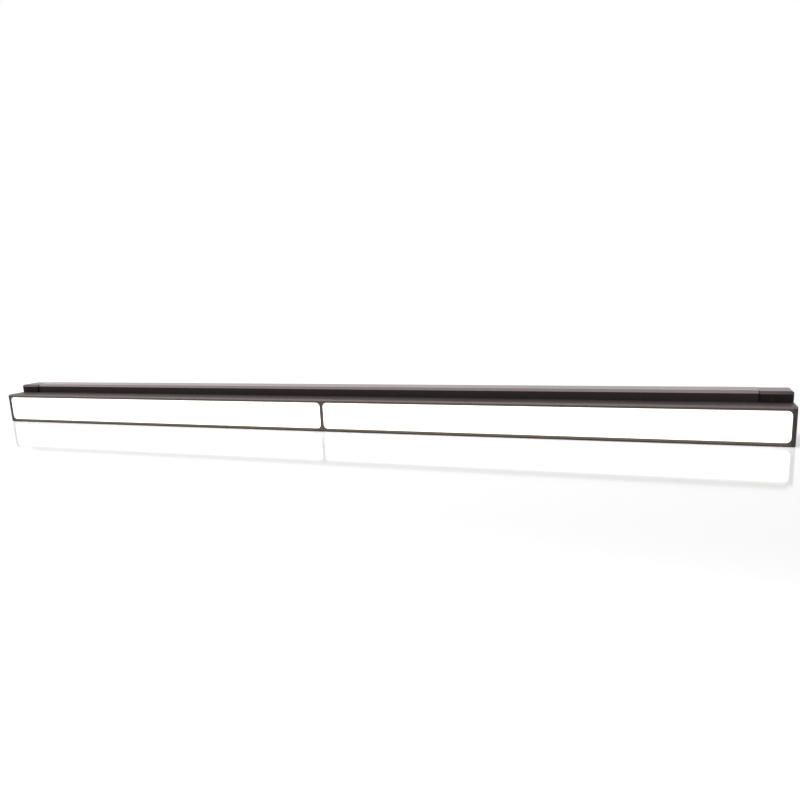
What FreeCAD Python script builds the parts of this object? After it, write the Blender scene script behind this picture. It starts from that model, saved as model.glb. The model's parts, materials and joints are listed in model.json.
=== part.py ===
import FreeCAD, Part
import math
import os
from FreeCAD import Vector

# Linear LED reversing light bar.
# A front frame with two lit windows is carried by a taller duct that holds the driver and the wiring.
# Millimetres, +Z up, the lit face looks along -Y, and the origin is the middle of the base.

# Overall form
length = 1000.0
lamp_height = 38.8
lamp_depth = 26.5
duct_depth = 25.5
duct_step = 8.5
duct_chamfer = 2.7

# Front frame
frame_wall = 1.5
face_thickness = 2.0
lip = 3.8
mullion = 4.0
window_radius = 5.0
pocket_radius = 2.0
face_chamfer = 1.6
seal_thickness = 0.8

# Lens, its gasket and the gap between the two lenses
lens_recess = 0.5
lens_wall = 2.0
lens_flange = 2.0
lens_clearance = 0.15
flange_clearance = 0.3
lens_gasket = 0.8

# Reflector tray
reflector_wall = 0.8
reflector_rim = 1.2
reflector_slope = 8.0
reflector_slot = 9.0

# Light board
board_width = 12.0
board_thickness = 1.6
board_inset = 6.0
board_land = 1.0
pad_thickness = 0.5
led_length = 3.5
led_width = 2.8
led_height = 0.8
led_pitch = 30.0
led_margin = 12.0

# Duct profile
duct_wall = 2.0
tongue_reach = 8.0
tongue_thickness = 2.5
tongue_gap = 0.2
ledge_width = 6.0
ledge_thickness = 2.0
port_radius = 2.8
port_merge = 0.6
port_slot = 1.2
guide_height = 2.5
guide_thickness = 1.2
guide_clearance = 0.1

# Rear cover
cover_thickness = 2.0
cover_gasket = 0.8
cover_clearance = 0.3
cover_margin = 16.0
cover_screws_per_row = 4
insert_spacing = 600.0
insert_body = 4.5
insert_bore = 2.5
insert_length = 11.0
insert_bottom = 1.5
insert_flange = 6.0
insert_flange_thickness = 0.8
insert_clearance = 0.05

# End housings
end_length = 30.0
end_gasket = 1.0
end_gasket_inset = 0.3
end_gasket_band = 1.0
end_wall = 2.0
end_proud = 1.2
end_drop = 0.4
end_lap = 0.2
end_round = 2.0
end_boss = 3.0

# Cable inlet, its grommet and the cord grip
inlet_from_back = 14.0
inlet_rise = 2.5
cable_radius = 2.75
grommet_neck = 3.8
grommet_flange = 4.7
grommet_flange_thickness = 1.5
grommet_clearance = 0.1
grommet_bead = 0.4
inlet_boss_wall = 1.4
inlet_boss_depth = 2.5
plug_dish = 3.2
plug_dish_depth = 0.6
clamp_offset = 10.5
clamp_half = 4.0
clamp_gap = 0.3
clamp_back = 2.5
clamp_wrap = 1.0
clamp_socket = 0.8
clamp_boss = 3.2
clamp_boss_depth = 3.0

# Screws
screw_radius = 1.5
thread_gap = 0.1
hole_clearance = 0.2
head_radius = 2.75
head_height = 1.8
head_bevel = 0.5
head_clearance = 0.3
socket_radius = 1.1
socket_depth = 0.9
board_screw_length = 6.0
frame_screw_length = 4.5
frame_screw_count = 5
frame_screw_margin = 40.0
cover_screw_length = 5.0
end_screw_grip = 10.0
grub_recess = 0.2

# Driver
driver_length = 110.0
driver_from_end = 100.0
driver_thickness = 1.6
driver_setback = 8.5
driver_clearance = 0.2
inductor_radius = 8.0
inductor_height = 10.0
inductor_flange = 1.5
inductor_waist = 4.5
inductor_gap = 0.2
inductor_winding_radius = 7.2
capacitor_radius = 4.0
capacitor_height = 11.0
capacitor_bevel = 0.8
capacitor_pitch = 10.0
chip_length = 9.0
chip_width = 6.0
chip_height = 2.0
chip_pitch = 12.0
terminal_length = 12.0
terminal_width = 16.0
terminal_height = 11.0
terminal_pitch = 7.0
terminal_mouth = 2.2
terminal_well = 2.4
terminal_well_depth = 3.0
terminal_screw_radius = 2.0
terminal_screw_height = 2.2
terminal_slot = 0.8
driver_margin = 4.0

# Leads to the light boards
lead_radius = 1.0
lead_bend = 3.0
lead_tail = 0.5
lead_spread = 3.0
lead_from_middle = 22.0
lead_landing = 12.0
bush_bore = 1.2
bush_neck = 2.2
bush_flange = 3.5
bush_flange_thickness = 1.0
bush_clearance = 0.05

# Planes and middles that follow from the sizes above
half = length / 2
height = lamp_height + duct_step + duct_chamfer
depth = lamp_depth + duct_depth
face_y = -depth / 2
back_y = depth / 2
duct_y = face_y + lamp_depth
lamp_middle = lamp_height / 2
frame_back = duct_y - seal_thickness
gasket_y = face_y + face_thickness
flange_y = gasket_y + lens_gasket
lens_back = flange_y + lens_flange
board_back = duct_y - pad_thickness
board_y = board_back - board_thickness
tongue_middle = duct_y - tongue_reach / 2
duct_end = half - end_length - end_gasket
end_start = half - end_length
cover_front = back_y - cover_thickness
ledge_back = cover_front - cover_gasket
ledge_front = ledge_back - ledge_thickness
head_sink = head_radius - screw_radius
head_seat = head_height + hole_clearance
port_inset = duct_wall + port_radius - port_merge
port_front = duct_y + port_inset
port_back = ledge_front - port_radius + port_merge
end_front = duct_y - end_proud
end_top = height - end_drop
inlet_y = back_y - inlet_from_back
inlet_z = lamp_height + inlet_rise
clamp_x = end_start + clamp_offset
clamp_front = inlet_y - cable_radius - clamp_gap - clamp_back
driver_y = duct_y + driver_setback
driver_back = driver_y + driver_thickness
driver_right = half - driver_from_end + driver_length / 2
driver_left = driver_right - driver_length
terminal_top = driver_back + terminal_height
capacitor_x = driver_right - terminal_length - driver_margin - capacitor_radius
inductor_x = capacitor_x - capacitor_radius - driver_margin - inductor_radius
along_x = Vector(1, 0, 0)
along_y = Vector(0, 1, 0)
along_z = Vector(0, 0, 1)

# Screw ports of the duct, as (y, z, direction of the port's slot in degrees from +Y towards +Z)
ports = [
    (port_front, port_inset, 45),
    (port_back, port_inset, 135),
    (port_back, height - port_inset, 225),
]


def block(xs, ys, zs):
    """Box between limits along X, Y and Z."""
    corner = Vector(xs[0], ys[0], zs[0])
    return Part.makeBox(xs[1] - xs[0], ys[1] - ys[0], zs[1] - zs[0], corner)


def rod(radius, start, direction, reach):
    """Round bar from a point along a direction."""
    return Part.makeCylinder(radius, reach, start, direction)


def rounded_plate(xs, zs, radius, ys):
    """Plate that faces the front, with rounded corners."""
    low_x, high_x = xs[0] + radius, xs[1] - radius
    low_z, high_z = zs[0] + radius, zs[1] - radius
    corners = [(high_x, low_z), (high_x, high_z), (low_x, high_z), (low_x, low_z)]
    arcs = []
    for turn, (x, z) in enumerate(corners):
        points = []
        for step in (-90, -45, 0):
            angle = math.radians(90 * turn + step)
            points.append(Vector(x + radius * math.cos(angle), ys[0], z + radius * math.sin(angle)))
        arcs.append(points)
    edges = []
    for points, following in zip(arcs, arcs[1:] + arcs[:1]):
        edges.append(Part.Arc(*points).toShape())
        edges.append(Part.makeLine(points[2], following[0]))
    return Part.Face(Part.Wire(edges)).extrude(Vector(0, ys[1] - ys[0], 0))


def bar(outline, xs):
    """Straight bar along X with an outline of (y, z) points."""
    points = [Vector(xs[0], y, z) for y, z in outline]
    face = Part.Face(Part.makePolygon(points + points[:1]))
    return face.extrude(Vector(xs[1] - xs[0], 0, 0))


def tapered(xs, zs, y, slope_x, slope_z, far_y):
    """Solid that narrows from a rectangle at y to a smaller one at far_y."""
    rings = []
    for level, dx, dz in ((y, 0, 0), (far_y, slope_x, slope_z)):
        points = [
            Vector(xs[0] + dx, level, zs[0] + dz),
            Vector(xs[1] - dx, level, zs[0] + dz),
            Vector(xs[1] - dx, level, zs[1] - dz),
            Vector(xs[0] + dx, level, zs[1] - dz),
        ]
        rings.append(Part.makePolygon(points + points[:1]))
    return Part.makeLoft(rings, True, True)


def turned(profile):
    """Solid turned about Z from an outline of (radius, z) points."""
    points = [Vector(radius, 0, z) for radius, z in profile]
    face = Part.Face(Part.makePolygon(points + points[:1]))
    return face.revolve(Vector(0, 0, 0), along_z, 360)


def placed(shape, point, direction):
    """Copy of a solid made along +Z, moved to a point and turned to a direction."""
    copy = shape.copy()
    copy.Placement = FreeCAD.Placement(point, FreeCAD.Rotation(along_z, direction))
    return copy


def socketed(shape):
    """Screw with a hexagon socket in its head."""
    corners = []
    for turn in range(6):
        angle = math.radians(60 * turn)
        corners.append(Vector(socket_radius * math.cos(angle), socket_radius * math.sin(angle), 0))
    face = Part.Face(Part.makePolygon(corners + corners[:1]))
    return shape.cut(face.extrude(Vector(0, 0, socket_depth)))


def pan_screw(reach):
    """Pan-head screw along +Z: its head's top is at zero and reach is the length under the head."""
    outline = [
        (0, 0),
        (head_radius - head_bevel, 0),
        (head_radius, head_bevel),
        (head_radius, head_height),
        (screw_radius, head_height),
        (screw_radius, head_height + reach),
        (0, head_height + reach),
    ]
    return turned(outline)


def flush_screw(reach):
    """Countersunk screw along +Z with its flat head at zero and its tip at reach."""
    outline = [(0, 0), (head_radius, 0), (screw_radius, head_sink), (screw_radius, reach), (0, reach)]
    return socketed(turned(outline))


def sink(reach):
    """Countersunk clearance hole along +Z."""
    hole = screw_radius + hole_clearance
    mouth = head_radius + hole_clearance
    return turned([(0, 0), (mouth, 0), (hole, mouth - hole), (hole, reach), (0, reach)])


def spread(count, reach):
    """Even places from -reach to reach."""
    return [-reach + 2 * reach * step / (count - 1) for step in range(count)]


def side_span(side, inner, outer):
    """Limits along X of something on one side of the middle."""
    return (inner, outer) if side > 0 else (-outer, -inner)


def inset_span(limits, inset):
    """Limits drawn in by the same amount at both ends."""
    return (limits[0] + inset, limits[1] - inset)


def window_spans(side, inset):
    """Limits of a window along X and Z, drawn in by inset."""
    across = inset_span(side_span(side, mullion / 2, half - lip), inset)
    return across, inset_span((lip, lamp_height - lip), inset)


def flange_spans(side):
    """Limits of a lens flange along X and Z, inside the frame's walls."""
    across = side_span(side, flange_clearance / 2, half - frame_wall - flange_clearance)
    return across, inset_span((frame_wall, lamp_height - frame_wall), flange_clearance)


def board_span(side):
    """Limits of a light board along X."""
    return inset_span(window_spans(side, 0)[0], board_inset)


def led_places(side):
    """Places of the light sources along X, centred on their board."""
    low, high = board_span(side)
    count = int((high - low - 2 * led_margin) / led_pitch) + 1
    start = (low + high) / 2 - (count - 1) * led_pitch / 2
    return [start + led_pitch * step for step in range(count)]


def board_screw_places(side):
    """Places of a board's screws along X, midway between light sources."""
    places = led_places(side)
    picks = (0, len(places) // 2, len(places) - 2)
    return [places[pick] + led_pitch / 2 for pick in picks]


def lead_start(side):
    """Point at the back of a light board where its lead is soldered."""
    return Vector(side * lead_from_middle, board_back, lamp_middle - side * lead_spread)


def frame_screw_places():
    """Places of the frame's screws along X."""
    return spread(frame_screw_count, duct_end - frame_screw_margin)


def cover_screw_places():
    """Places of the cover's screws as (x, z)."""
    rise = duct_wall + ledge_width / 2
    row = spread(cover_screws_per_row, duct_end - cover_margin)
    return [(x, z) for z in (rise, height - rise) for x in row]


def insert_places():
    """Places of the mounting inserts on the cover's outer face."""
    return [Vector(side * insert_spacing / 2, back_y, height / 2) for side in (-1, 1)]


def make_frame():
    """Front frame: face with two windows and bevelled long edges, and four walls behind it."""
    body = block((-half, half), (face_y, frame_back), (0, lamp_height))
    front = [edge for edge in body.Edges if edge.BoundBox.YMax < face_y + face_chamfer]
    body = body.makeChamfer(face_chamfer, [edge for edge in front if edge.BoundBox.XLength > half])
    pocket_x = inset_span((-half, half), frame_wall)
    pocket_z = inset_span((0, lamp_height), frame_wall)
    body = body.cut(rounded_plate(pocket_x, pocket_z, pocket_radius, (gasket_y, frame_back)))
    for side in (-1, 1):
        across, upright = window_spans(side, 0)
        body = body.cut(rounded_plate(across, upright, window_radius, (face_y, gasket_y)))
    sinks = [placed(sink(frame_wall), Vector(x, tongue_middle, 0), along_z) for x in frame_screw_places()]
    return body.cut(sinks)


def make_frame_seal():
    """Flat seal behind the frame's rear rim."""
    body = block((-half, half), (frame_back, duct_y), (0, lamp_height))
    opening_x = inset_span((-half, half), frame_wall)
    opening_z = inset_span((0, lamp_height), frame_wall)
    return body.cut(rounded_plate(opening_x, opening_z, pocket_radius, (frame_back, duct_y)))


def make_frame_screws():
    """Screws from below into the duct's lower tongue."""
    tool = flush_screw(frame_screw_length)
    seats = [Vector(x, tongue_middle, 0) for x in frame_screw_places()]
    return Part.makeCompound([placed(tool, seat, along_z) for seat in seats])


def make_lens_gasket(side):
    """Ring between the face and a lens flange."""
    across, upright = flange_spans(side)
    ring = rounded_plate(across, upright, pocket_radius - flange_clearance, (gasket_y, flange_y))
    across, upright = window_spans(side, 0)
    return ring.cut(rounded_plate(across, upright, window_radius, (gasket_y, flange_y)))


def make_diffuser(side):
    """Opal lens: a hollow plateau that fills the window, on a flange behind the face."""
    across, upright = flange_spans(side)
    body = rounded_plate(across, upright, pocket_radius - flange_clearance, (flange_y, lens_back))
    across, upright = window_spans(side, lens_clearance)
    plateau = window_radius - lens_clearance
    lens_face = face_y + lens_recess
    body = body.fuse(rounded_plate(across, upright, plateau, (lens_face, flange_y)))
    across, upright = window_spans(side, lens_clearance + lens_wall)
    hollow = rounded_plate(across, upright, plateau - lens_wall, (lens_face + lens_wall, lens_back))
    return body.cut(hollow).removeSplitter()


def make_reflector(side):
    """White tray with sloping walls, a rim on the lens and a slot for the light sources."""
    rim_back = lens_back + reflector_rim
    across, upright = flange_spans(side)
    body = rounded_plate(across, upright, pocket_radius - flange_clearance, (lens_back, rim_back))
    across, upright = window_spans(side, 0)
    slope_z = (upright[1] - upright[0] - board_width) / 2 - board_land
    outer_x = inset_span(across, -reflector_wall)
    outer_z = inset_span(upright, -reflector_wall)
    body = body.fuse(tapered(outer_x, outer_z, lens_back, reflector_slope, slope_z, board_y))
    floor_y = board_y - reflector_wall
    body = body.cut(tapered(across, upright, lens_back, reflector_slope, slope_z, floor_y))
    slot_x = inset_span(across, reflector_slope + reflector_wall)
    slot_z = (lamp_middle - reflector_slot / 2, lamp_middle + reflector_slot / 2)
    return body.cut(block(slot_x, (floor_y, board_y), slot_z)).removeSplitter()


def make_board(side):
    """Light board with its screw holes."""
    upright = (lamp_middle - board_width / 2, lamp_middle + board_width / 2)
    body = block(board_span(side), (board_y, board_back), upright)
    for x in board_screw_places(side):
        start = Vector(x, board_y, lamp_middle)
        body = body.cut(rod(screw_radius + hole_clearance, start, along_y, board_thickness))
    return body


def make_pad(side):
    """Thermal pad behind a light board, open at its screws and at its lead."""
    upright = (lamp_middle - board_width / 2, lamp_middle + board_width / 2)
    body = block(board_span(side), (board_back, duct_y), upright)
    for x in board_screw_places(side):
        start = Vector(x, board_back, lamp_middle)
        body = body.cut(rod(screw_radius + hole_clearance, start, along_y, pad_thickness))
    return body.cut(rod(bush_neck, lead_start(side), along_y, pad_thickness))


def make_leds(side):
    """Light sources in a row on their board."""
    upright = (lamp_middle - led_width / 2, lamp_middle + led_width / 2)
    front = (board_y - led_height, board_y)
    rows = [block((x - led_length / 2, x + led_length / 2), front, upright) for x in led_places(side)]
    return Part.makeCompound(rows)


def make_board_screws():
    """Screws that clamp both boards to the duct's front wall."""
    tool = pan_screw(board_screw_length)
    screws = []
    for side in (-1, 1):
        for x in board_screw_places(side):
            screws.append(placed(tool, Vector(x, board_y - head_height, lamp_middle), along_y))
    return Part.makeCompound(screws)


def duct_outline(inset, rear):
    """Outline of the duct with its bevelled front top edge, drawn in by inset and ending at rear."""
    bevel = duct_chamfer + inset * (math.sqrt(2) - 1)
    return [
        (duct_y + inset, inset),
        (rear, inset),
        (rear, height - inset),
        (duct_y + bevel, height - inset),
        (duct_y + inset, height - bevel),
    ]


def make_housing():
    """Duct profile, open at the back, with tongues, board guides and screw ports."""
    reach = (-duct_end, duct_end)
    body = bar(duct_outline(0, back_y), reach).cut(bar(duct_outline(duct_wall, ledge_front), reach))
    seat_z = inset_span((0, height), duct_wall)
    body = body.cut(block(reach, (ledge_back, back_y), seat_z))
    body = body.cut(block(reach, (ledge_front, ledge_back), inset_span(seat_z, ledge_width)))
    tongue_z = inset_span((0, lamp_height), frame_wall + tongue_gap)
    ribs = []
    for start in (tongue_z[0], tongue_z[1] - tongue_thickness):
        ribs.append(block(reach, (duct_y - tongue_reach, duct_y), (start, start + tongue_thickness)))
    for start in (seat_z[0], seat_z[1] - guide_height):
        upright = (start, start + guide_height)
        front = driver_y - guide_clearance
        back = driver_back + guide_clearance
        ribs.append(block(reach, (front - guide_thickness, front), upright))
        ribs.append(block(reach, (back, back + guide_thickness), upright))
    for y, z, _ in ports:
        ribs.append(rod(port_radius, Vector(-duct_end, y, z), along_x, 2 * duct_end))
    return body.multiFuse(ribs).cut(port_cuts() + housing_holes()).removeSplitter()


def port_cuts():
    """Core and open slot of each screw port."""
    cuts = []
    for y, z, turn in ports:
        cuts.append(rod(screw_radius + thread_gap, Vector(-duct_end, y, z), along_x, 2 * duct_end))
        slot = block((-duct_end, duct_end), (0, 2 * port_radius), (-port_slot / 2, port_slot / 2))
        slot.rotate(Vector(0, 0, 0), along_x, turn)
        slot.translate(Vector(0, y, z))
        cuts.append(slot)
    return cuts


def housing_holes():
    """Threaded holes and lead passages of the duct profile."""
    thread = screw_radius + thread_gap
    cuts = []
    for side in (-1, 1):
        for x in board_screw_places(side):
            cuts.append(rod(thread, Vector(x, duct_y, lamp_middle), along_y, duct_wall))
        passage = lead_start(side) + pad_thickness * along_y
        cuts.append(rod(bush_neck + bush_clearance, passage, along_y, duct_wall))
    for x in frame_screw_places():
        start = Vector(x, tongue_middle, frame_wall + tongue_gap)
        cuts.append(rod(thread, start, along_z, tongue_thickness))
    for x, z in cover_screw_places():
        start = Vector(x, back_y - cover_screw_length - thread_gap, z)
        cuts.append(rod(thread, start, along_y, cover_screw_length - cover_thickness))
    return cuts


def cover_spans(inset):
    """Limits of the rear cover along X and Z, drawn in by inset."""
    across = inset_span((-duct_end, duct_end), cover_clearance + inset)
    return across, inset_span((0, height), duct_wall + cover_clearance + inset)


def make_cover():
    """Flush rear cover with countersunk holes and seats for the mounting inserts."""
    across, upright = cover_spans(0)
    cuts = []
    for x, z in cover_screw_places():
        cuts.append(placed(sink(cover_thickness), Vector(x, back_y, z), -along_y))
    for point in insert_places():
        cuts.append(rod(insert_body + insert_clearance, point, -along_y, cover_thickness))
        cuts.append(rod(insert_flange + insert_clearance, point, -along_y, insert_flange_thickness))
    return block(across, (cover_front, back_y), upright).cut(cuts)


def make_cover_gasket():
    """Ring between the cover and the duct's ledges."""
    across, upright = cover_spans(0)
    body = block(across, (ledge_back, cover_front), upright)
    across, upright = cover_spans(ledge_width - cover_clearance)
    cuts = [block(across, (ledge_back, cover_front), upright)]
    for x, z in cover_screw_places():
        cuts.append(rod(screw_radius + hole_clearance, Vector(x, ledge_back, z), along_y, cover_gasket))
    return body.cut(cuts)


def make_cover_screws():
    """Countersunk screws of the rear cover."""
    tool = flush_screw(cover_screw_length)
    seats = [Vector(x, back_y, z) for x, z in cover_screw_places()]
    return Part.makeCompound([placed(tool, seat, -along_y) for seat in seats])


def make_inserts():
    """Closed threaded inserts, flush with the rear cover."""
    outline = [
        (insert_bore, 0),
        (insert_flange, 0),
        (insert_flange, insert_flange_thickness),
        (insert_body, insert_flange_thickness),
        (insert_body, insert_length),
        (0, insert_length),
        (0, insert_length - insert_bottom),
        (insert_bore, insert_length - insert_bottom),
    ]
    tool = turned(outline)
    return Part.makeCompound([placed(tool, point, -along_y) for point in insert_places()])


def end_outline(inset):
    """Outline of an end housing, drawn in by inset: above the frame it stands proud of the duct."""
    bevel = duct_chamfer + inset * (math.sqrt(2) - 1)
    lap = lamp_height + end_lap
    return [
        (duct_y + inset, inset),
        (back_y - inset, inset),
        (back_y - inset, end_top - inset),
        (end_front + bevel, end_top - inset),
        (end_front + inset, end_top - bevel),
        (end_front + inset, lap + inset),
        (duct_y + inset, lap + inset),
    ]


def make_end_shell():
    """Right-hand end housing before drilling: a rounded shell with screw bosses and an inlet boss."""
    plan = rounded_plate((-half, half), (end_front, back_y), end_round, (-height, 0))
    plan.rotate(Vector(0, 0, 0), along_x, -90)
    elevation = rounded_plate((-half, half), (-height, end_top), end_round, (face_y, back_y))
    outer = bar(end_outline(0), (end_start, half)).common(plan).common(elevation)
    body = outer.cut(bar(end_outline(end_wall), (end_start, half - end_wall)))
    bosses = [rod(end_boss, Vector(end_start, y, z), along_x, end_length - end_wall) for y, z, _ in ports]
    start = Vector(half - end_wall - inlet_boss_depth, inlet_y, inlet_z)
    bosses.append(rod(grommet_flange + inlet_boss_wall, start, along_x, inlet_boss_depth))
    return body.multiFuse([boss.common(outer) for boss in bosses])


def end_holes():
    """Screw holes, head seats and inlet of the right-hand end housing."""
    cuts = []
    for y, z, _ in ports:
        cuts.append(rod(screw_radius + hole_clearance, Vector(end_start, y, z), along_x, end_length))
        cuts.append(rod(head_radius + head_clearance, Vector(half, y, z), -along_x, head_seat))
    mouth = Vector(half, inlet_y, inlet_z)
    cuts.append(rod(grommet_neck, mouth, -along_x, end_wall + inlet_boss_depth))
    cuts.append(rod(grommet_flange + grommet_clearance, mouth, -along_x, grommet_flange_thickness))
    return cuts


def make_right_end():
    """Right-hand end housing with a boss for the clamp screw and an anvil behind the cable."""
    boss_start = Vector(clamp_x, end_front + end_wall, inlet_z)
    boss = rod(clamp_boss, boss_start, along_y, clamp_boss_depth)
    anvil_y = (inlet_y + cable_radius + clamp_gap, back_y - end_wall)
    anvil = block((clamp_x - clamp_half, clamp_x + clamp_half), anvil_y, clamp_rise())
    thread = rod(screw_radius + thread_gap, Vector(clamp_x, end_front, inlet_z), along_y, clamp_boss_end())
    return make_end_shell().multiFuse([boss, anvil]).cut(end_holes() + [thread]).removeSplitter()


def clamp_rise():
    """Limits of the cord grip along Z."""
    return (inlet_z - clamp_half, inlet_z + clamp_half)


def clamp_boss_end():
    """Depth of the clamp screw's thread behind the end housing's front."""
    return end_wall + clamp_boss_depth


def make_left_end():
    """Left-hand end housing, a mirror of the plain shell."""
    return make_end_shell().cut(end_holes()).removeSplitter().mirror(Vector(0, 0, 0), along_x)


def make_end_gasket():
    """Right-hand gasket between the duct and its end housing, with an ear at each screw."""
    reach = (duct_end, end_start)
    outer = bar(duct_outline(end_gasket_inset, back_y - end_gasket_inset), reach)
    band = duct_wall + end_gasket_band
    ring = outer.cut(bar(duct_outline(band, back_y - band), reach))
    ears = [rod(end_boss, Vector(duct_end, y, z), along_x, end_gasket) for y, z, _ in ports]
    hole = screw_radius + hole_clearance
    holes = [rod(hole, Vector(duct_end, y, z), along_x, end_gasket) for y, z, _ in ports]
    return ring.multiFuse(ears).cut(holes).removeSplitter()


def make_end_screws():
    """Long screws through both end housings into the duct's ports."""
    tool = socketed(pan_screw(end_length - head_seat + end_gasket + end_screw_grip))
    screws = []
    for side in (-1, 1):
        for y, z, _ in ports:
            point = Vector(side * (half - head_seat + head_height), y, z)
            screws.append(placed(tool, point, -side * along_x))
    return Part.makeCompound(screws)


def inlet_fitting(face):
    """Flanged bush that fills an end housing's inlet, from the outline of its inner part."""
    inner = end_wall + inlet_boss_depth
    neck = grommet_neck - grommet_clearance
    outline = [
        (grommet_flange, 0),
        (grommet_flange, grommet_flange_thickness),
        (neck, grommet_flange_thickness),
        (neck, inner),
        (neck + grommet_bead, inner),
        (neck, inner + grommet_flange_thickness),
    ]
    return turned(outline + face)


def make_cable_grommet():
    """Rubber grommet with an open bore for the supply cable."""
    inner = end_wall + inlet_boss_depth + grommet_flange_thickness
    tool = inlet_fitting([(cable_radius, inner), (cable_radius, 0)])
    return placed(tool, Vector(half, inlet_y, inlet_z), -along_x)


def make_breather_plug():
    """Closed breather plug with a dished face, in the left-hand inlet."""
    inner = end_wall + inlet_boss_depth + grommet_flange_thickness
    dish = [(0, plug_dish_depth), (plug_dish - plug_dish_depth, plug_dish_depth), (plug_dish, 0)]
    tool = inlet_fitting([(0, inner)] + dish)
    return placed(tool, Vector(-half, inlet_y, inlet_z), along_x)


def make_cord_clamp():
    """Saddle of the cord grip, carried on the tip of its screw."""
    across = (clamp_x - clamp_half, clamp_x + clamp_half)
    body = block(across, (clamp_front, inlet_y - clamp_wrap), clamp_rise())
    start = Vector(across[0], inlet_y, inlet_z)
    groove = rod(cable_radius + clamp_gap, start, along_x, 2 * clamp_half)
    socket = rod(screw_radius + thread_gap, Vector(clamp_x, clamp_front, inlet_z), along_y, clamp_socket)
    return body.cut([groove, socket])


def make_clamp_screw():
    """Grub screw of the cord grip, just below the end housing's front face."""
    start = end_front + grub_recess
    reach = clamp_front + clamp_socket - start
    tool = socketed(turned([(0, 0), (screw_radius, 0), (screw_radius, reach), (0, reach)]))
    return placed(tool, Vector(clamp_x, start, inlet_z), along_y)


def make_driver_board():
    """Driver board, held by its long edges in the duct's guides."""
    upright = inset_span((0, height), duct_wall + driver_clearance)
    return block((driver_left, driver_right), (driver_y, driver_back), upright)


def terminal_rows():
    """Heights of the two terminals."""
    return [height / 2 + side * terminal_pitch / 2 for side in (-1, 1)]


def make_terminal_block():
    """Terminal block with two wire mouths and two screw wells."""
    upright = (height / 2 - terminal_width / 2, height / 2 + terminal_width / 2)
    body = block((driver_right - terminal_length, driver_right), (driver_back, terminal_top), upright)
    cuts = []
    for z in terminal_rows():
        mouth = Vector(driver_right, driver_back + terminal_height / 2, z)
        cuts.append(rod(terminal_mouth, mouth, -along_x, terminal_length / 2))
        well = Vector(driver_right - terminal_length / 2, terminal_top, z)
        cuts.append(rod(terminal_well, well, -along_y, terminal_well_depth))
    return body.cut(cuts)


def make_terminal_screws():
    """Slotted clamping screws at the bottom of the terminal block's wells."""
    bottom = terminal_top - terminal_well_depth
    screws = []
    for z in terminal_rows():
        start = Vector(driver_right - terminal_length / 2, bottom, z)
        head = rod(terminal_screw_radius, start, along_y, terminal_screw_height)
        across = (start.x - terminal_screw_radius, start.x + terminal_screw_radius)
        slot_y = (bottom + terminal_screw_height / 2, bottom + terminal_screw_height)
        slot = block(across, slot_y, (z - terminal_slot / 2, z + terminal_slot / 2))
        screws.append(head.cut(slot))
    return Part.makeCompound(screws)


def make_capacitors():
    """Pair of can capacitors on the driver board."""
    outline = [
        (0, 0),
        (capacitor_radius, 0),
        (capacitor_radius, capacitor_height - capacitor_bevel),
        (capacitor_radius - capacitor_bevel, capacitor_height),
        (0, capacitor_height),
    ]
    tool = turned(outline)
    cans = []
    for side in (-1, 1):
        point = Vector(capacitor_x, driver_back, height / 2 + side * capacitor_pitch / 2)
        cans.append(placed(tool, point, along_y))
    return Part.makeCompound(cans)


def make_inductor_core():
    """Ferrite bobbin of the driver's inductor."""
    outline = [
        (0, 0),
        (inductor_radius, 0),
        (inductor_radius, inductor_flange),
        (inductor_waist, inductor_flange),
        (inductor_waist, inductor_height - inductor_flange),
        (inductor_radius, inductor_height - inductor_flange),
        (inductor_radius, inductor_height),
        (0, inductor_height),
    ]
    return placed(turned(outline), Vector(inductor_x, driver_back, height / 2), along_y)


def make_inductor_winding():
    """Copper winding round the bobbin's waist."""
    inner = inductor_waist + inductor_gap
    low = inductor_flange + inductor_gap
    high = inductor_height - low
    outline = [(inner, low), (inductor_winding_radius, low), (inductor_winding_radius, high), (inner, high)]
    return placed(turned(outline), Vector(inductor_x, driver_back, height / 2), along_y)


def make_chips():
    """Column of driver chips at the board's far end."""
    across = (driver_left + driver_margin, driver_left + driver_margin + chip_length)
    chips = []
    for step in (-1, 0, 1):
        middle = height / 2 + step * chip_pitch
        upright = (middle - chip_width / 2, middle + chip_width / 2)
        chips.append(block(across, (driver_back, driver_back + chip_height), upright))
    return Part.makeCompound(chips)


def make_lead(side):
    """Twin lead from a light board, through the duct's front wall, to the driver board."""
    start = lead_start(side)
    run_y = driver_y - lead_tail - lead_bend
    landing = driver_left + lead_landing
    inside = lead_bend * (1 - math.sqrt(0.5))
    bend_in = Vector(start.x, run_y - lead_bend, start.z)
    bend_in_middle = Vector(start.x + inside, run_y - inside, start.z)
    run_start = Vector(start.x + lead_bend, run_y, start.z)
    run_end = Vector(landing - lead_bend, run_y, start.z)
    bend_out_middle = Vector(landing - inside, run_y + inside, start.z)
    bend_out = Vector(landing, run_y + lead_bend, start.z)
    path = Part.Wire([
        Part.makeLine(start, bend_in),
        Part.Arc(bend_in, bend_in_middle, run_start).toShape(),
        Part.makeLine(run_start, run_end),
        Part.Arc(run_end, bend_out_middle, bend_out).toShape(),
        Part.makeLine(bend_out, Vector(landing, driver_y, start.z)),
    ])
    section = Part.Wire(Part.makeCircle(lead_radius, start, along_y))
    return path.makePipeShell([section], True, True)


def make_bushes():
    """Rubber bushes in the duct's lead passages."""
    outer = duct_wall + bush_flange_thickness
    outline = [
        (bush_bore, 0),
        (bush_neck, 0),
        (bush_neck, duct_wall),
        (bush_flange, duct_wall),
        (bush_flange, outer),
        (bush_bore, outer),
    ]
    tool = turned(outline)
    seats = [lead_start(side) + pad_thickness * along_y for side in (-1, 1)]
    return Part.makeCompound([placed(tool, seat, along_y) for seat in seats])


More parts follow.
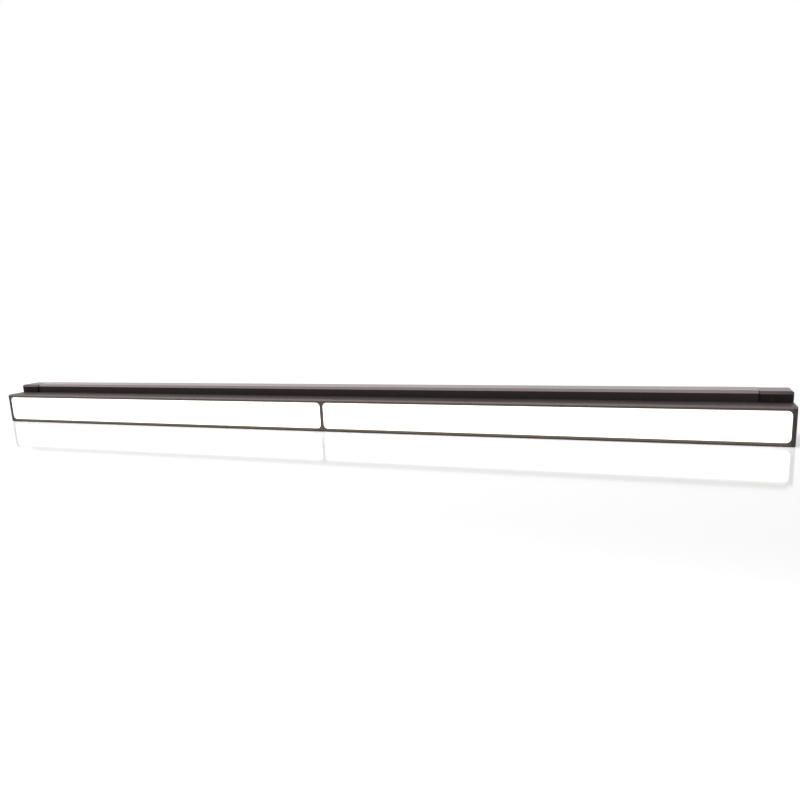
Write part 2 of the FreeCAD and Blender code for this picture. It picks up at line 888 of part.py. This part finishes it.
parts = {
    "bezel_frame": make_frame(),
    "frame_seal": make_frame_seal(),
    "frame_screws": make_frame_screws(),
    "board_screws": make_board_screws(),
    "rear_housing": make_housing(),
    "rear_cover": make_cover(),
    "cover_gasket": make_cover_gasket(),
    "cover_screws": make_cover_screws(),
    "mounting_inserts": make_inserts(),
    "right_end_housing": make_right_end(),
    "left_end_housing": make_left_end(),
    "right_end_gasket": make_end_gasket(),
    "left_end_gasket": make_end_gasket().mirror(Vector(0, 0, 0), along_x),
    "end_screws": make_end_screws(),
    "cable_grommet": make_cable_grommet(),
    "breather_plug": make_breather_plug(),
    "cord_clamp": make_cord_clamp(),
    "clamp_screw": make_clamp_screw(),
    "driver_board": make_driver_board(),
    "inductor_core": make_inductor_core(),
    "inductor_winding": make_inductor_winding(),
    "driver_capacitors": make_capacitors(),
    "driver_chips": make_chips(),
    "terminal_block": make_terminal_block(),
    "terminal_screws": make_terminal_screws(),
    "passage_grommets": make_bushes(),
}
for name, side in (("left", -1), ("right", 1)):
    parts[name + "_lens_gasket"] = make_lens_gasket(side)
    parts[name + "_diffuser"] = make_diffuser(side)
    parts[name + "_reflector"] = make_reflector(side)
    parts[name + "_led_board"] = make_board(side)
    parts[name + "_leds"] = make_leds(side)
    parts[name + "_thermal_pad"] = make_pad(side)
    parts[name + "_led_lead"] = make_lead(side)

os.makedirs("parts", exist_ok=True)
for name, shape in parts.items():
    shape.exportStep("parts/" + name + ".step")
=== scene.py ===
import json
import math

import bpy
from mathutils import Matrix, Vector

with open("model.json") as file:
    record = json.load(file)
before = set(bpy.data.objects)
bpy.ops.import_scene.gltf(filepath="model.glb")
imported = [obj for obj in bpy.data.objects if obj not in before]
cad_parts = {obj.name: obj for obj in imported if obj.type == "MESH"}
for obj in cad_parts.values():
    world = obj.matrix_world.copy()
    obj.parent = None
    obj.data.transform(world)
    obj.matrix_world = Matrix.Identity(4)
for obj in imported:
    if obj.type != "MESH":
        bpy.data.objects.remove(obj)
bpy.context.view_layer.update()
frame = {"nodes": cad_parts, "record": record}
nodes = frame["nodes"]

# Camera, in metres, degrees and pixels
camera_place = (0.381, -0.762, 0.1675)
camera_yaw = 20.96
camera_pitch = 11.99
camera_roll = -2.63
camera_shift = 0.0427
focal_pixels = 701.2
image_pixels = 800
sensor_width = 36.0

# Light: level from all round, and the strip's power in watts, size and place in metres
ambient = 0.45
strip_power = 28.0
strip_size = (3.18, 0.5)
strip_place = (-0.86, -0.25, 1.6)

# Floor: size in metres, finish, own light beside the bar and far away, and where that changes
floor_size = 12.0
floor_tone = (0.82, 0.82, 0.82, 1.0)
floor_rough = 0.08
floor_lift = (0.125, 0.6)
floor_fade = (0.28, 0.65)

# Lit windows, in metres: middle, half height, half the lit length, fading edges, pitch of the LEDs
window_middle = 0.0194
window_half = 0.0156
lamp_half = 0.4962
rim_fade = (window_half - 0.004, window_half)
end_fade = (lamp_half - 0.006, lamp_half)
led_pitch = 0.03

# Opal lenses: glow in the middle and at the edge, its share between the LEDs and at them, tones
glow_strength = (1.6, 1.12)
led_spots = (0.94, 1.0)
glow_tones = ((1.0, 1.0, 1.0), (1.0, 0.95, 0.84))
lens_tones = ((0.9, 0.9, 0.88), (0.94, 0.94, 0.93))
lens_rough = (0.3, 0.42)

# Front frame: tones of the metal, of the painted glow from the lit windows on the upper and lower
# rail beside them, and of the painted shade on the jambs
frame_tones = ((0.086, 0.07, 0.07), (0.102, 0.084, 0.084))
rail_glow_tones = ((0.09, 0.072, 0.055), (0.142, 0.115, 0.083))
jamb_shade_tone = (0.046, 0.038, 0.037)

# Front frame: roughness, how metallic it is elsewhere and on top, and the upright's share of the
# painted window glow
frame_rough = (0.45, 0.55)
frame_bare = (0.4, 0.95)
upright_glow_share = (0.35, 1.0)

# Front frame, in metres: where the painted glow on the rails, the upright and the lower rail, and
# the painted shade on the jambs, change tone
rail_fade = (lamp_half, lamp_half - 0.008)
upright_fade = (0.003, 0.016)
jamb_fade = (lamp_half - 0.001, lamp_half + 0.001)
low_fade = (window_middle + 0.005, window_middle - 0.01)

# Parts of a normal that count as facing the front and the top
front_facing = (-0.85, -0.95)
top_facing = (0.85, 0.95)

# Metal and lacquer: added roughness of front faces, share of the paler tone painted on top faces as
# painted light, and tints
front_matt = 0.35
top_light_share = 0.4
metal_top_light = (0.09, 0.073, 0.074)
lacquer_top_light = (0.056, 0.046, 0.047)
metal_tint = (1.0, 0.93, 0.95, 1.0)
lacquer_tint = (1.0, 0.92, 0.93, 1.0)

# Rubbed edges of the metal, with their radius in metres
rubbed_radius = 0.0005
rubbed_samples = 4
rubbed_limits = (0.75, 0.98)
rubbed_share = 0.4
rubbed_tone = (0.12, 0.1, 0.085)

# Grain, in features to the metre along each axis
line_grain = (9.0, 3000.0, 3000.0)
cloud_grain = (14.0, 60.0, 60.0)
mould_grain = (2200.0, 2200.0, 2200.0)
slow_grain = (55.0, 55.0, 55.0)
scratch_grain = (900.0, 2600.0, 900.0)
haze_grain = (300.0, 300.0, 300.0)
speckle_grain = (800.0, 800.0, 800.0)
plain_detail = 3.0
scratch_detail = 5.0

# Heights of the grain, in metres
line_height = 0.0000015
mould_height = 0.00001
lacquer_height = 0.000008
scratch_height = 0.000006
track_height = 0.00003
wire_height = 0.0001

# Ranges: the whole of a factor, and the parts of one noise or of two that are spread out
whole = (0.0, 1.0)
one_noise = (0.35, 0.65)
soft_noise = (0.3, 0.7)
two_noises = (0.7, 1.3)

# Places in metres, and white
unscaled = (1.0, 1.0, 1.0)
white = (1.0, 1.0, 1.0, 1.0)

# Circuit boards and wound wire
track_pattern = {"Scale": 1.0, "Mortar Size": 0.06, "Brick Width": 1.6, "Row Height": 0.7}
mask_shade = 0.85
board_rough = (0.28, 0.4)
wire_pattern = {"Scale": 1.0, "Distortion": 0.4, "Detail": 1.0}
wire_scale = 40.0
wire_rough = (0.4, 0.22)
wire_bare = 0.8

# Finishes by name: a darker and a lighter tone, and a range of roughness
drawn_finishes = {
    "bronze_aluminium": ((0.037, 0.0295, 0.03), (0.045, 0.036, 0.0365), (0.14, 0.22)),
}
lacquered_finishes = {
    "black_plastic": ((0.023, 0.0187, 0.0193), (0.03, 0.0243, 0.0252), (0.22, 0.3)),
    "joint_rubber": ((0.009, 0.0075, 0.0075), (0.012, 0.01, 0.01), (0.24, 0.32)),
}
moulded_finishes = {
    "white_reflector": ((0.88, 0.88, 0.86), (0.93, 0.93, 0.91), (0.2, 0.3)),
    "led_phosphor": ((0.86, 0.7, 0.2), (0.93, 0.8, 0.3), (0.3, 0.4)),
    "thermal_pad": ((0.28, 0.34, 0.42), (0.36, 0.42, 0.49), (0.6, 0.75)),
    "seal_rubber": ((0.012, 0.012, 0.012), (0.022, 0.022, 0.022), (0.55, 0.7)),
    "ferrite": ((0.05, 0.05, 0.055), (0.08, 0.08, 0.085), (0.5, 0.65)),
    "capacitor_can": ((0.04, 0.05, 0.1), (0.06, 0.07, 0.14), (0.25, 0.35)),
    "chip_plastic": ((0.024, 0.024, 0.024), (0.036, 0.036, 0.036), (0.45, 0.6)),
    "terminal_plastic": ((0.09, 0.29, 0.14), (0.12, 0.36, 0.18), (0.4, 0.5)),
    "lead_plastic": ((0.55, 0.55, 0.53), (0.64, 0.64, 0.62), (0.45, 0.55)),
}
plated_finishes = {
    "screw_steel": ((0.36, 0.36, 0.37), (0.5, 0.5, 0.51), (0.24, 0.36)),
    "dark_screw": ((0.055, 0.05, 0.049), (0.085, 0.079, 0.077), (0.32, 0.46)),
    "insert_steel": ((0.48, 0.47, 0.43), (0.62, 0.61, 0.57), (0.26, 0.4)),
    "grip_steel": ((0.03, 0.026, 0.025), (0.052, 0.046, 0.045), (0.32, 0.46)),
}

# Boards by name: solder mask, tracks and the scale of the tracks
board_finishes = {
    "light_board": ((0.86, 0.87, 0.85), (0.72, 0.72, 0.7), (90.0, 400.0, 400.0)),
    "driver_board": ((0.03, 0.18, 0.08), (0.05, 0.25, 0.11), (220.0, 500.0, 500.0)),
}

# Windings by name: a darker and a lighter tone, and the scale of the turns
wound_finishes = {
    "copper_winding": ((0.4, 0.16, 0.06), (0.66, 0.31, 0.15), 300.0),
}

# Pieces with a finish of their own
own_finishes = {
    "bezel_frame": "frame_metal",
    "left_end_gasket": "joint_rubber",
    "right_end_gasket": "joint_rubber",
    "clamp_screw": "grip_steel",
}


# Node helpers

def add_node(tree, kind, values=None, **settings):
    """A new shader node with its settings and its input values."""
    node = tree.nodes.new("ShaderNode" + kind)
    for name, value in settings.items():
        setattr(node, name, value)
    for name, value in (values or {}).items():
        node.inputs[name].default_value = value
    return node


def start_material(name):
    """A new material, its node tree and its principled surface."""
    material = bpy.data.materials.new(name)
    material.use_nodes = True
    tree = material.node_tree
    return material, tree, tree.nodes["Principled BSDF"]


def feed(tree, shader, name, value):
    """Links a value to one of the surface's inputs."""
    tree.links.new(value, shader.inputs[name])


def place(tree, stretch):
    """The point's place on the object, scaled along each axis."""
    coordinates = add_node(tree, "TexCoord")
    mapping = add_node(tree, "Mapping", {"Scale": stretch})
    tree.links.new(coordinates.outputs["Object"], mapping.inputs["Vector"])
    return mapping.outputs["Vector"]


def split(tree, vector):
    """The parts of a vector along each axis."""
    node = add_node(tree, "SeparateXYZ")
    tree.links.new(vector, node.inputs["Vector"])
    return node.outputs


def noise(tree, stretch, detail=plain_detail):
    """Noise with so many features to the metre along each axis."""
    texture = add_node(tree, "TexNoise", {"Scale": 1.0, "Detail": detail})
    tree.links.new(place(tree, stretch), texture.inputs["Vector"])
    return texture.outputs["Fac"]


def math_node(tree, operation, first, second=0.0):
    """One sum on two values, each a number or another node's output."""
    node = add_node(tree, "Math", operation=operation)
    for socket, value in zip(node.inputs, (first, second)):
        if isinstance(value, float):
            socket.default_value = value
        else:
            tree.links.new(value, socket)
    return node.outputs["Value"]


def remap(tree, value, source, target, blend="LINEAR"):
    """The value moved from one range to another, and kept within it."""
    names = ("From Min", "From Max", "To Min", "To Max")
    node = add_node(tree, "MapRange", dict(zip(names, source + target)), interpolation_type=blend)
    tree.links.new(value, node.inputs["Value"])
    return node.outputs["Result"]


def shade(tree, factor, low, high):
    """A colour between two, by a factor from 0 to 1."""
    node = add_node(tree, "Mix", data_type="RGBA")
    colours = [socket for socket in node.inputs if socket.type == "RGBA"]
    tree.links.new(factor, node.inputs["Factor"])
    for socket, value in zip(colours, (low, high)):
        if isinstance(value, tuple):
            socket.default_value = (*value, 1.0)
        else:
            tree.links.new(value, socket)
    return next(socket for socket in node.outputs if socket.type == "RGBA")


def bump(tree, shader, height, distance):
    """Raises the surface by the height, with the given distance in metres."""
    node = add_node(tree, "Bump", {"Strength": 1.0, "Distance": distance})
    tree.links.new(height, node.inputs["Height"])
    feed(tree, shader, "Normal", node.outputs["Normal"])


def edges(tree):
    """A factor that is 1 along the sharp edges and 0 away from them."""
    rounded = add_node(tree, "Bevel", {"Radius": rubbed_radius}, samples=rubbed_samples)
    flat = add_node(tree, "NewGeometry")
    product = add_node(tree, "VectorMath", operation="DOT_PRODUCT")
    tree.links.new(rounded.outputs["Normal"], product.inputs[0])
    tree.links.new(flat.outputs["Normal"], product.inputs[1])
    return remap(tree, product.outputs["Value"], rubbed_limits, (1.0, 0.0))


def facing(tree, axis, limits):
    """A factor that grows from 0 to 1 as the surface turns from the first limit to the second."""
    geometry = add_node(tree, "NewGeometry")
    return remap(tree, split(tree, geometry.outputs["Normal"])[axis], limits, whole)


def paint_top_light(tree, colour, paler):
    """The colour, drawn a little towards a paler one on faces that look up: painted light on the top
    faces.
    """
    share = math_node(tree, "MULTIPLY", facing(tree, "Z", top_facing), top_light_share)
    return shade(tree, share, colour, paler)


def roughen(tree, shader, tone, rough):
    """Roughness that follows the tone, with more on front faces."""
    extra = math_node(tree, "MULTIPLY", facing(tree, "Y", front_facing), front_matt)
    feed(tree, shader, "Roughness", math_node(tree, "ADD", remap(tree, tone, whole, rough), extra))


# Materials

def metal(tree, shader, dark, light):
    """Satin anodised metal: fine lines along the bar, slow tone changes and paler edges."""
    lines = noise(tree, line_grain)
    both = math_node(tree, "ADD", lines, noise(tree, cloud_grain))
    tone = remap(tree, both, two_noises, whole)
    rubbed = math_node(tree, "MULTIPLY", edges(tree), rubbed_share)
    shader.inputs["Specular Tint"].default_value = metal_tint
    bump(tree, shader, lines, line_height)
    return tone, shade(tree, rubbed, shade(tree, tone, dark, light), rubbed_tone)


def drawn_metal(name, dark, light, rough):
    """The duct's and the cover's finish, with a paler tone painted on the top faces as painted
    light.
    """
    material, tree, shader = start_material(name)
    tone, colour = metal(tree, shader, dark, light)
    roughen(tree, shader, tone, rough)
    # Top faces are drawn towards a paler tone: painted light.
    feed(tree, shader, "Base Color", paint_top_light(tree, colour, metal_top_light))
    shader.inputs["Metallic"].default_value = 1.0
    return material


def frame_metal(name):
    """The front frame's finish: a painted glow of the lit windows on the rails beside them, painted
    shade on the darker jambs, a barer top.
    """
    material, tree, shader = start_material(name)
    front = facing(tree, "Y", front_facing)
    tone, colour = metal(tree, shader, *frame_tones)
    feed(tree, shader, "Roughness", remap(tree, tone, whole, frame_rough))
    feed(tree, shader, "Metallic", remap(tree, facing(tree, "Z", top_facing), whole, frame_bare))
    parts = split(tree, place(tree, unscaled))
    along = math_node(tree, "ABSOLUTE", parts["X"])
    # Painted light: the rails' front faces along the lit windows get a painted glow, with less of it
    # by the upright, and the jambs' front faces get painted shade.
    rail = remap(tree, along, rail_fade, whole)
    upright = remap(tree, along, upright_fade, upright_glow_share)
    window_glow = math_node(tree, "MULTIPLY", front, math_node(tree, "MULTIPLY", rail, upright))
    jamb_shade_share = math_node(tree, "MULTIPLY", front, remap(tree, along, jamb_fade, whole))
    glow = shade(tree, remap(tree, parts["Z"], low_fade, whole), *rail_glow_tones)
    face = shade(tree, jamb_shade_share, shade(tree, window_glow, colour, glow), jamb_shade_tone)
    feed(tree, shader, "Base Color", face)
    return material


def moulded(name, dark, light, rough):
    """Moulded plastic or rubber with a fine even grain and a slow change of tone."""
    material, tree, shader = start_material(name)
    fine = noise(tree, mould_grain)
    both = math_node(tree, "ADD", fine, noise(tree, slow_grain))
    tone = remap(tree, both, two_noises, whole)
    feed(tree, shader, "Base Color", shade(tree, tone, dark, light))
    feed(tree, shader, "Roughness", remap(tree, tone, whole, rough))
    bump(tree, shader, fine, mould_height)
    return material


def lacquered(name, dark, light, rough):
    """Lacquered end blocks: darker than the duct, with the same cast and a fine moulded grain, and a
    paler tone painted on the top faces as painted light.
    """
    material, tree, shader = start_material(name)
    fine = noise(tree, mould_grain)
    tone = remap(tree, fine, one_noise, whole)
    colour = shade(tree, tone, dark, light)
    # Top faces are drawn towards a paler tone: painted light.
    feed(tree, shader, "Base Color", paint_top_light(tree, colour, lacquer_top_light))
    roughen(tree, shader, tone, rough)
    shader.inputs["Metallic"].default_value = 1.0
    shader.inputs["Specular Tint"].default_value = lacquer_tint
    bump(tree, shader, fine, lacquer_height)
    return material


def plated(name, dark, light, rough):
    """Plated or blackened steel with small scratches."""
    material, tree, shader = start_material(name)
    scratches = noise(tree, scratch_grain, scratch_detail)
    tone = remap(tree, scratches, one_noise, whole)
    feed(tree, shader, "Base Color", shade(tree, tone, dark, light))
    feed(tree, shader, "Roughness", remap(tree, tone, whole, rough))
    shader.inputs["Metallic"].default_value = 1.0
    bump(tree, shader, scratches, scratch_height)
    return material


def opal(name):
    """Lit opal cover: evenly white, a little warmer and dimmer along the window's edges."""
    material, tree, shader = start_material(name)
    parts = split(tree, place(tree, unscaled))
    rise = math_node(tree, "SUBTRACT", parts["Z"], window_middle)
    rim = remap(tree, math_node(tree, "ABSOLUTE", rise), rim_fade, whole)
    end = remap(tree, math_node(tree, "ABSOLUTE", parts["X"]), end_fade, whole)
    edge = math_node(tree, "MAXIMUM", rim, end)
    turns = math_node(tree, "MULTIPLY", parts["X"], 2.0 * math.pi / led_pitch)
    spots = remap(tree, math_node(tree, "COSINE", turns), (-1.0, 1.0), led_spots)
    dimmed = remap(tree, edge, whole, glow_strength)
    feed(tree, shader, "Emission Color", shade(tree, edge, *glow_tones))
    feed(tree, shader, "Emission Strength", math_node(tree, "MULTIPLY", spots, dimmed))
    haze = noise(tree, haze_grain)
    feed(tree, shader, "Base Color", shade(tree, haze, *lens_tones))
    feed(tree, shader, "Roughness", remap(tree, haze, soft_noise, lens_rough))
    return material


def circuit(name, mask, track, scale):
    """Solder mask over a pattern of tracks."""
    material, tree, shader = start_material(name)
    pattern = add_node(tree, "TexBrick", track_pattern)
    tree.links.new(place(tree, scale), pattern.inputs["Vector"])
    tracks = pattern.outputs["Fac"]
    speckle = noise(tree, speckle_grain)
    paint = shade(tree, speckle, mask, tuple(mask_shade * part for part in mask))
    feed(tree, shader, "Base Color", shade(tree, tracks, paint, track))
    feed(tree, shader, "Roughness", remap(tree, speckle, soft_noise, board_rough))
    bump(tree, shader, tracks, track_height)
    return material


def wound(name, dark, light, turns):
    """Enamelled wire laid in close turns."""
    material, tree, shader = start_material(name)
    pattern = add_node(tree, "TexWave", wire_pattern, bands_direction="Y")
    tree.links.new(place(tree, (wire_scale, turns, wire_scale)), pattern.inputs["Vector"])
    bands = pattern.outputs["Fac"]
    feed(tree, shader, "Base Color", shade(tree, bands, dark, light))
    feed(tree, shader, "Roughness", remap(tree, bands, whole, wire_rough))
    shader.inputs["Metallic"].default_value = wire_bare
    bump(tree, shader, bands, wire_height)
    return material


def make_materials():
    """Each material by its name."""
    recipes = (
        (drawn_metal, drawn_finishes),
        (lacquered, lacquered_finishes),
        (moulded, moulded_finishes),
        (plated, plated_finishes),
        (circuit, board_finishes),
        (wound, wound_finishes),
    )
    materials = {"opal_lens": opal("opal_lens"), "frame_metal": frame_metal("frame_metal")}
    for recipe, finishes in recipes:
        for name, values in finishes.items():
            materials[name] = recipe(name, *values)
    return materials


def dress_nodes(materials):
    """Gives each piece its own finish, or else the one in the record."""
    for row in frame["record"]["subparts"]:
        finish = own_finishes.get(row["node"], row["material_slot"])
        mesh = nodes[row["node"]].data
        mesh.materials.clear()
        mesh.materials.append(materials[finish])


# Studio

def seen(tree):
    """A factor that is 1 where the camera sees the surface, itself or in a reflection."""
    path = add_node(tree, "LightPath")
    direct = math_node(tree, "MAXIMUM", path.outputs["Is Camera Ray"], path.outputs["Is Glossy Ray"])
    return math_node(tree, "MAXIMUM", direct, path.outputs["Is Transmission Ray"])


def make_world():
    """Soft light from all round, and a white background where it is seen."""
    world = bpy.data.worlds.new("studio")
    bpy.context.scene.world = world
    world.use_nodes = True
    tree = world.node_tree
    background = tree.nodes["Background"]
    background.inputs["Color"].default_value = white
    feed(tree, background, "Strength", remap(tree, seen(tree), whole, (ambient, 1.0)))


def make_floor():
    """White gloss floor that keeps the object's shadow and reflection."""
    half = floor_size / 2
    ring = [(-half, -half, 0.0), (half, -half, 0.0), (half, half, 0.0), (-half, half, 0.0)]
    mesh = bpy.data.meshes.new("floor")
    mesh.from_pydata(ring, [], [(0, 1, 2, 3)])
    floor = bpy.data.objects.new("floor", mesh)
    bpy.context.scene.collection.objects.link(floor)
    material, tree, shader = start_material("floor_white")
    shader.inputs["Base Color"].default_value = floor_tone
    shader.inputs["Roughness"].default_value = floor_rough
    shader.inputs["Emission Color"].default_value = white
    parts = split(tree, place(tree, unscaled))
    past = math_node(tree, "SUBTRACT", math_node(tree, "ABSOLUTE", parts["X"]), lamp_half)
    beside = math_node(tree, "POWER", math_node(tree, "MAXIMUM", past, 0.0), 2.0)
    square = math_node(tree, "ADD", beside, math_node(tree, "POWER", parts["Y"], 2.0))
    lift = remap(tree, math_node(tree, "SQRT", square), floor_fade, floor_lift, "SMOOTHSTEP")
    feed(tree, shader, "Emission Strength", math_node(tree, "MULTIPLY", seen(tree), lift))
    mesh.materials.append(material)


def make_strip():
    """A long soft strip of light above the object."""
    light = bpy.data.lights.new("strip", "AREA")
    light.shape = "RECTANGLE"
    light.size, light.size_y = strip_size
    light.energy = strip_power
    lamp = bpy.data.objects.new("strip", light)
    lamp.location = strip_place
    bpy.context.scene.collection.objects.link(lamp)


def make_camera():
    """The camera at the photograph's place and angle."""
    yaw, pitch, roll = (math.radians(angle) for angle in (camera_yaw, camera_pitch, camera_roll))
    level = math.cos(pitch)
    forward = Vector((-math.sin(yaw) * level, math.cos(yaw) * level, -math.sin(pitch)))
    right = Vector((math.cos(yaw), math.sin(yaw), 0.0))
    turned = Matrix((right, right.cross(forward), -forward)).transposed()
    data = bpy.data.cameras.new("camera")
    data.sensor_width = sensor_width
    data.lens = sensor_width * focal_pixels / image_pixels
    data.shift_y = camera_shift
    camera = bpy.data.objects.new("camera", data)
    tilted = turned @ Matrix.Rotation(roll, 3, "Z")
    camera.matrix_world = Matrix.Translation(camera_place) @ tilted.to_4x4()
    bpy.context.scene.collection.objects.link(camera)
    bpy.context.scene.camera = camera


dress_nodes(make_materials())
make_world()
make_floor()
make_strip()
make_camera()
bpy.context.scene.view_settings.view_transform = "Standard"
